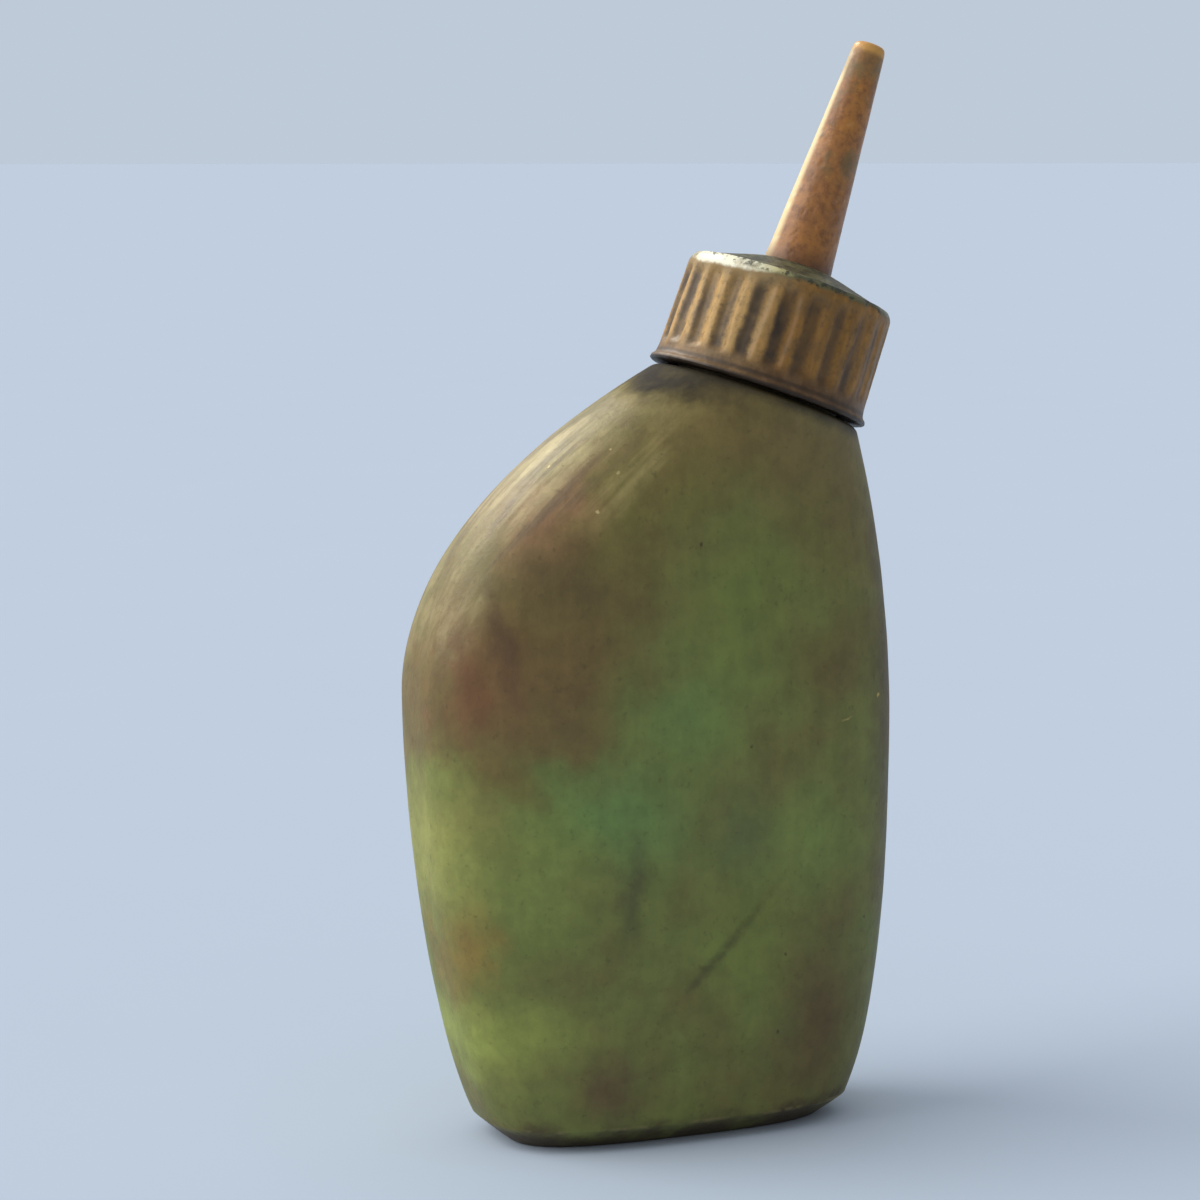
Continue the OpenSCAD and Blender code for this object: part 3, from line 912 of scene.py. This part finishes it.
def cap_fields(nodes):
    """The measures and noises that the layers of the cap's colour share."""
    at = nodes.neck_place()
    x, y, s = nodes.parts(at)[:3]
    angle = nodes.math("ARCTAN2", y, x)
    worn = nodes.noise(at, scale=0.30, detail=4.0, rough=0.6)[0]
    return SimpleNamespace(
        at=at, s=s, angle=angle, worn=worn,
        radius=nodes.math("SQRT", nodes.plus(nodes.times(x, x), nodes.times(y, y))),
        low=nodes.plus(s, nodes.times(worn, 2.5)),
        # left is 1 on the side where the ribs, the grease and the bevel get their painted highlight and
        # glare
        left=nodes.side(angle, CAP_HIGHLIGHT_TURN),
        fine=nodes.noise(at, scale=1.1, detail=5.0, rough=0.65)[0],
        streak=nodes.noise(at, scale=1.1, detail=3.0, rough=0.55, stretch=(1, 1, 5))[0])


def groove_grease(nodes, cap):
    """1 in the grooves between the ribs, less at their ends and where they are rubbed."""
    broad = nodes.noise(cap.at, scale=0.13, detail=3.0, rough=0.5, shift=(11, 0, 0))[0]
    wave = nodes.plus(nodes.times(cap.angle, float(RIBS)), -RIBS * GROOVE_TURN)
    wave = nodes.math("COSINE", nodes.plus(wave, nodes.times(cap.worn, 1.8)))
    wave = nodes.plus(wave, nodes.times(nodes.plus(cap.fine, cap.streak), 0.9))
    grease = nodes.times(nodes.step(wave, 0.25, 1.8), nodes.step(broad, 0.38, 0.6, 1.0, 0.55))
    ends = nodes.times(nodes.step(cap.low, 2.6, 5.0),
                       nodes.step(cap.low, CAP_H - 1.8, CAP_H + 0.6, 1.0, 0.0))
    grease = nodes.times(grease, ends)
    rubbed = nodes.side(cap.angle, RUBBED_TURN)
    return nodes.times(grease, nodes.step(rubbed, *RUBBED_EDGE, 1.0, 0.6))


def skirt_colour(nodes, cap):
    """Ochre ribs with a painted highlight at the left and painted shade in front, with dark grease between
    them that is painted lighter at the left as a highlight.
    """
    rib = nodes.blend(nodes.step(cap.streak, 0.25, 0.75), RIB_OCHRE, RIB_AMBER)
    rib = nodes.blend(nodes.step(cap.worn, 0.42, 0.66, 0.0, 0.8), rib, RIB_WORN)
    # Painted shade on the ribs in front, away from the light
    shaded_side = nodes.side(cap.angle, CAP_SHADE_TURN)
    rib = nodes.blend(nodes.step(shaded_side, 0.6, 1.0, 0.0, 0.3), rib, RIB_SHADED)
    rib = nodes.blend(nodes.step(cap.left, 0.6, 1.0, 0.0, 0.5), rib, RIB_HIGHLIGHT)
    # The grease is painted lighter at the left as a highlight
    grease = nodes.blend(nodes.step(cap.left, 0.7, 1.0), GREASE_DARK, GREASE_HIGHLIT)
    return nodes.blend(groove_grease(nodes, cap), rib, grease)


def skirt_dirt_and_shade(nodes, colour, cap):
    """A stained rim under a crease with painted shade, dust high up at the left, dirt, and painted shade
    along the lower edge.
    """
    rim = nodes.step(cap.low, 2.6, 5.4, 1.0, 0.0)
    stained = nodes.blend(nodes.step(cap.worn, 0.42, 0.6), RIM_UMBER, RIM_TAN)
    colour = nodes.blend(nodes.times(rim, 0.8), colour, stained)
    crease = nodes.math("ABSOLUTE", nodes.plus(cap.s, -CREASE_S))
    # Painted shade in the concave crease above the flared rim
    colour = nodes.blend(nodes.step(crease, 0.05, 0.5, 0.55, 0.0), colour, CREASE_SHADE)
    dusty = nodes.times(nodes.step(cap.left, 0.5, 0.9),
                        nodes.step(cap.low, CAP_H - 1.8, CAP_H + 0.6, 0.0, 0.5))
    colour = nodes.blend(dusty, colour, DUST_GREY)
    colour = nodes.blend(nodes.step(cap.fine, 0.48, 0.7, 0.0, 0.4), colour, DIRT_BROWN)
    # Painted shade on the underside of the flared rim
    return nodes.blend(nodes.step(cap.s, 0.3, 0.8, 0.88, 0.0), colour, UNDERSIDE_SHADE)


def cap_top(nodes, colour, cap, bevel, glare):
    """A grey-green cone inside a worn bevel with a pale yellow painted highlight that turns white where the
    glare is painted, with dark dashes and a painted highlight along the inner raised edge.
    """
    ragged = nodes.plus(nodes.times(cap.fine, 0.8), nodes.times(cap.worn, 1.6))
    top = nodes.step(nodes.plus(cap.s, ragged), CAP_H + 0.7, CAP_H + 1.5)
    cone = nodes.blend(nodes.step(cap.worn, 0.38, 0.62), CONE_DARK, CONE_LIGHT)
    colour = nodes.blend(top, colour, cone)
    # Painted highlight on the worn bevel at the left, white in the glare
    bevel_highlight = nodes.times(bevel, nodes.step(nodes.plus(cap.left, cap.worn), 1.2, 1.5, 0.0, 0.95))
    colour = nodes.blend(bevel_highlight, colour, nodes.blend(glare, BEVEL_HIGHLIGHT_CREAM, BEVEL_GLARE_WHITE))
    dashes = nodes.times(nodes.step(cap.fine, 0.52, 0.58, 0.0, 0.75),
                         nodes.step(cap.s, CAP_H - 0.4, CAP_H + 0.1))
    colour = nodes.blend(dashes, colour, DASH_BLACK)
    # Painted highlight along the inner raised edge of the top
    from_ridge = nodes.math("ABSOLUTE", nodes.math("SUBTRACT", cap.radius, RIDGE_R))
    ridge_highlight = nodes.times(nodes.step(from_ridge, 0.05, 0.15, 0.85, 0.0), nodes.step(cap.s, CAP_H, CAP_H + 0.4))
    return nodes.blend(ridge_highlight, colour, RIDGE_HIGHLIGHT)


def cap_material():
    """Ochre ribs, greasy grooves, a brown rim and a grey-green top with a worn edge, with painted highlights
    at the left and on the top edge, and painted shade in front, in the crease and under the rim.
    """
    nodes = Nodes("cap_moulding")
    cap = cap_fields(nodes)
    glare = nodes.step(cap.left, 0.78, 0.98)
    worn_s = nodes.plus(cap.s, nodes.times(nodes.plus(glare, cap.fine), 0.8))
    bevel = nodes.times(nodes.step(worn_s, CAP_H + 0.1, CAP_H + 0.7), nodes.step(cap.radius, *BEVEL_R))

    colour = skirt_colour(nodes, cap)
    colour = skirt_dirt_and_shade(nodes, colour, cap)
    colour = cap_top(nodes, colour, cap, bevel, glare)

    polished = nodes.step(bevel, 0.0, 1.0, 0.36, 0.16)
    roughness = nodes.plus(nodes.times(cap.fine, 0.2), polished)
    dents = nodes.bump(cap.worn, distance=0.0003, strength=0.4)
    normal = nodes.bump(cap.fine, distance=0.00012, strength=0.5, under=dents)
    return nodes.finish(colour, roughness, normal, specular=0.35)


# ---------------------------------------------------------------- the spout, washer and floor

SPOUT_GOLD = srgb(176, 116, 52)
SPOUT_BROWN = srgb(154, 102, 56)
SPOUT_RUST = srgb(122, 76, 38)
SPOUT_TAN = srgb(196, 144, 84)
SPOUT_OLIVE = srgb(116, 98, 62)
SPECK_DARK = srgb(88, 52, 32)
SPECK_PALE = srgb(226, 184, 128)
SPOUT_HIGHLIGHT = srgb(252, 226, 172)
SPOUT_FOOT = srgb(92, 58, 34)
NEAR_TIP = srgb(128, 106, 68)
TIP_GOLD = srgb(214, 158, 80)
RUBBER_BLACK = srgb(38, 37, 35)
RUBBER_GREY = srgb(58, 55, 50)
FLOOR_DARK = srgb(205, 219, 237)
FLOOR_LIGHT = srgb(207, 221, 239)


def spout_specks(nodes, colour, at, s):
    """Dark specks and pale dots with ragged edges, fewer towards the tip."""
    shaken = nodes.noise(at, scale=1.2, detail=3.0, rough=0.6)[1]
    ragged = nodes.vector_math("ADD", at, shaken)
    large = flecks(nodes, ragged, density=0.4, reach=0.26, rarity=0.5)
    larger = flecks(nodes, ragged, density=0.22, reach=0.2, rarity=0.5)
    dots = flecks(nodes, ragged, density=0.7, reach=0.1, rarity=0.7)
    low = nodes.step(s, CONE_H + 12, CONE_H + 22, 0.4, 0.15)
    colour = nodes.blend(nodes.times(nodes.math("MAXIMUM", large, larger), low), colour, SPECK_DARK)
    return nodes.blend(nodes.times(dots, low), colour, SPECK_PALE)


def spout_ends(nodes, colour, s, fine):
    """A dark foot, and a golden tip over a duller stretch."""
    foot = nodes.step(nodes.plus(s, fine), CONE_H + 0.3, CONE_H + 3.5, 0.55, 0.0)
    colour = nodes.blend(foot, colour, SPOUT_FOOT)
    below = nodes.step(nodes.plus(s, nodes.times(fine, 3.0)), TIP_H - 4.5, TIP_H - 2.0, 0.0, 0.45)
    colour = nodes.blend(below, colour, NEAR_TIP)
    tip = nodes.step(nodes.plus(s, nodes.times(fine, 1.2)), TIP_H - 1.2, TIP_H - 0.3, 0.0, 0.9)
    return nodes.blend(tip, colour, TIP_GOLD)


def spout_material():
    """Aged golden-brown moulding with olive-grey patches, dark specks, a paler worn tip and a painted
    highlight down its left side.
    """
    nodes = Nodes("spout_moulding")
    at = nodes.neck_place()
    x, y, s = nodes.parts(at)[:3]
    patch = nodes.noise(at, scale=0.20, detail=4.0, rough=0.6)[0]
    fine = nodes.noise(at, scale=0.8, detail=6.0, rough=0.7)[0]
    colour = nodes.blend(nodes.step(patch, 0.35, 0.65), SPOUT_GOLD, SPOUT_BROWN)
    colour = nodes.blend(nodes.step(fine, 0.46, 0.66, 0.0, 0.75), colour, SPOUT_RUST)
    colour = nodes.blend(nodes.step(fine, 0.30, 0.42, 0.45, 0.0), colour, SPOUT_TAN)
    aged = nodes.noise(at, scale=0.17, detail=4.0, rough=0.65, shift=(0, 0, 31))[0]
    high = nodes.step(s, CONE_H + 10, CONE_H + 15)
    colour = nodes.blend(nodes.times(nodes.step(aged, 0.48, 0.62, 0.0, 0.7), high), colour, SPOUT_OLIVE)
    colour = spout_specks(nodes, colour, at, s)
    # Painted highlight: a pale strip down the spout's left side, where the light grazes it
    left = nodes.side(nodes.math("ARCTAN2", y, x), SPOUT_HIGHLIGHT_TURN)
    colour = nodes.blend(nodes.step(left, 0.83, 0.99, 0.0, 0.9), colour, SPOUT_HIGHLIGHT)
    colour = spout_ends(nodes, colour, s, fine)

    roughness = nodes.plus(nodes.times(fine, 0.3), 0.24)
    dents = nodes.bump(patch, distance=0.0004, strength=0.3)
    normal = nodes.bump(fine, distance=0.0001, strength=0.5, under=dents)
    return nodes.finish(colour, roughness, normal, specular=0.5)


def washer_material():
    nodes = Nodes("washer_rubber")
    fine = nodes.noise(nodes.neck_place(), scale=1.5, detail=4.0, rough=0.6)[0]
    colour = nodes.blend(nodes.step(fine, 0.35, 0.7), RUBBER_BLACK, RUBBER_GREY)
    roughness = nodes.plus(nodes.times(fine, 0.2), 0.62)
    normal = nodes.bump(fine, distance=0.0001, strength=0.4)
    return nodes.finish(colour, roughness, normal, specular=0.4)


def floor_material():
    nodes = Nodes("pale_floor")
    grain = nodes.noise(nodes.place(), scale=0.02, detail=3.0, rough=0.55)[0]
    colour = nodes.blend(grain, FLOOR_DARK, FLOOR_LIGHT)
    normal = nodes.bump(grain, distance=0.0001, strength=0.1)
    return nodes.finish(colour, 0.9, normal, specular=0.0)


# ---------------------------------------------------------------- stage, light and camera

FLOOR_HALF_M = 60.0
WORLD_HIGH = 0.76
WORLD_LOW = 0.12
WORLD_TOWARDS = (-0.56, 0.56, 0.61)
WORLD_COLOUR = (0.98, 1.0, 1.03, 1.0)
SKY_COLOUR = srgb(190, 202, 216)

CAMERA_AZIMUTH_DEG = -22.83
CAMERA_ELEVATION_DEG = 7.42
CAMERA_DISTANCE = 445.5
CAMERA_TARGET = np.array([-8.54, 0.0, 70.9])
CAMERA_LENS = 102.09
CAMERA_SENSOR = 36.0


def direction(azimuth_deg, elevation_deg):
    """A unit vector towards an azimuth, 0 in front and 90 at the right, and an elevation."""
    a, e = math.radians(azimuth_deg), math.radians(elevation_deg)
    return np.array([math.sin(a) * math.cos(e), -math.cos(a) * math.cos(e), math.sin(e)])


def make_floor():
    half = FLOOR_HALF_M
    corners = [(-half, -half, 0), (half, -half, 0), (half, half, 0), (-half, half, 0)]
    mesh = bpy.data.meshes.new("floor")
    mesh.from_pydata(corners, [], [(0, 1, 2, 3)])
    made = bpy.data.objects.new("floor", mesh)
    bpy.context.scene.collection.objects.link(made)
    made.data.materials.append(floor_material())


def make_sun(name, azimuth_deg, elevation_deg, energy, spread_deg, colour):
    """A sun that shines from an azimuth and an elevation."""
    light = bpy.data.lights.new(name, "SUN")
    light.energy = energy
    light.angle = math.radians(spread_deg)
    light.color = colour
    made = bpy.data.objects.new(name, light)
    made.rotation_mode = "QUATERNION"
    source = Vector(direction(azimuth_deg, elevation_deg))
    made.rotation_quaternion = source.to_track_quat("Z", "Y")
    bpy.context.scene.collection.objects.link(made)
    return made


def light_only(source, pieces):
    """Keeps a light off the floor, so that it rims the object without a second shadow."""
    lit = bpy.data.collections.new("lit_by_" + source.name)
    for piece in pieces:
        lit.objects.link(piece)
    source.light_linking.receiver_collection = lit


def world_strength(tree):
    """WORLD_HIGH towards WORLD_TOWARDS, falling evenly to WORLD_LOW on the other side."""
    towards = tree.nodes.new("ShaderNodeTexCoord")
    share = tree.nodes.new("ShaderNodeVectorMath")
    share.operation = "DOT_PRODUCT"
    share.inputs[1].default_value = WORLD_TOWARDS
    tree.links.new(towards.outputs["Generated"], share.inputs[0])
    level = tree.nodes.new("ShaderNodeMapRange")
    level.inputs["From Min"].default_value = -1.0
    level.inputs["To Min"].default_value = WORLD_LOW
    level.inputs["To Max"].default_value = WORLD_HIGH
    tree.links.new(share.outputs["Value"], level.inputs["Value"])
    return level.outputs[0]


def make_world():
    """Soft light from all round, brightest from the upper left behind, under an even pale sky."""
    world = bpy.data.worlds.new("soft_studio")
    world.use_nodes = True
    tree = world.node_tree
    light = tree.nodes["Background"]
    light.inputs["Color"].default_value = WORLD_COLOUR
    tree.links.new(world_strength(tree), light.inputs["Strength"])
    seen = tree.nodes.new("ShaderNodeBackground")
    seen.inputs["Color"].default_value = SKY_COLOUR
    path = tree.nodes.new("ShaderNodeLightPath")
    both = tree.nodes.new("ShaderNodeMixShader")
    tree.links.new(path.outputs["Is Camera Ray"], both.inputs[0])
    tree.links.new(light.outputs[0], both.inputs[1])
    tree.links.new(seen.outputs[0], both.inputs[2])
    tree.links.new(both.outputs[0], tree.nodes["World Output"].inputs["Surface"])
    bpy.context.scene.world = world


def make_camera():
    """The photograph's viewpoint: slightly from the left and above, with a long lens."""
    back = direction(CAMERA_AZIMUTH_DEG, CAMERA_ELEVATION_DEG)
    lens = bpy.data.cameras.new("camera")
    lens.sensor_width = CAMERA_SENSOR
    lens.lens = CAMERA_LENS
    lens.clip_start = 0.01
    lens.clip_end = 200.0
    made = bpy.data.objects.new("camera", lens)
    made.location = Vector((CAMERA_TARGET + back * CAMERA_DISTANCE) / MM)
    made.rotation_mode = "QUATERNION"
    made.rotation_quaternion = Vector(-back).to_track_quat("-Z", "Y")
    bpy.context.scene.collection.objects.link(made)
    bpy.context.scene.camera = made


# ---------------------------------------------------------------- assembly


def place_piece(piece, material, body, node):
    piece.data.materials.append(material)
    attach(piece, body)
    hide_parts(node)


make_camera()
make_world()
make_floor()
make_sun("key", azimuth_deg=-106, elevation_deg=36, energy=1.6, spread_deg=55, colour=(1.0, 0.975, 0.93))
rim = make_sun("rim", azimuth_deg=-160, elevation_deg=38, energy=1.5, spread_deg=20,
               colour=(1.0, 0.96, 0.88))
bpy.context.scene.view_settings.view_transform = "Standard"

bottle = make_bottle()
press_in(bottle, hand_blown)
place_piece(bottle, bottle_glass_material(), "bottle", "bottle_body")

cap = make_cap()
press_in(cap, worn_cap)
place_piece(cap, cap_material(), "cap", "screw_cap")

spout = make_spout()
press_in(spout, pitted_spout)
place_piece(spout, spout_material(), "spout", "spout")

washer = make_washer()
place_piece(washer, washer_material(), "spout", "sealing_washer")

light_only(rim, [bottle, cap, spout, washer])
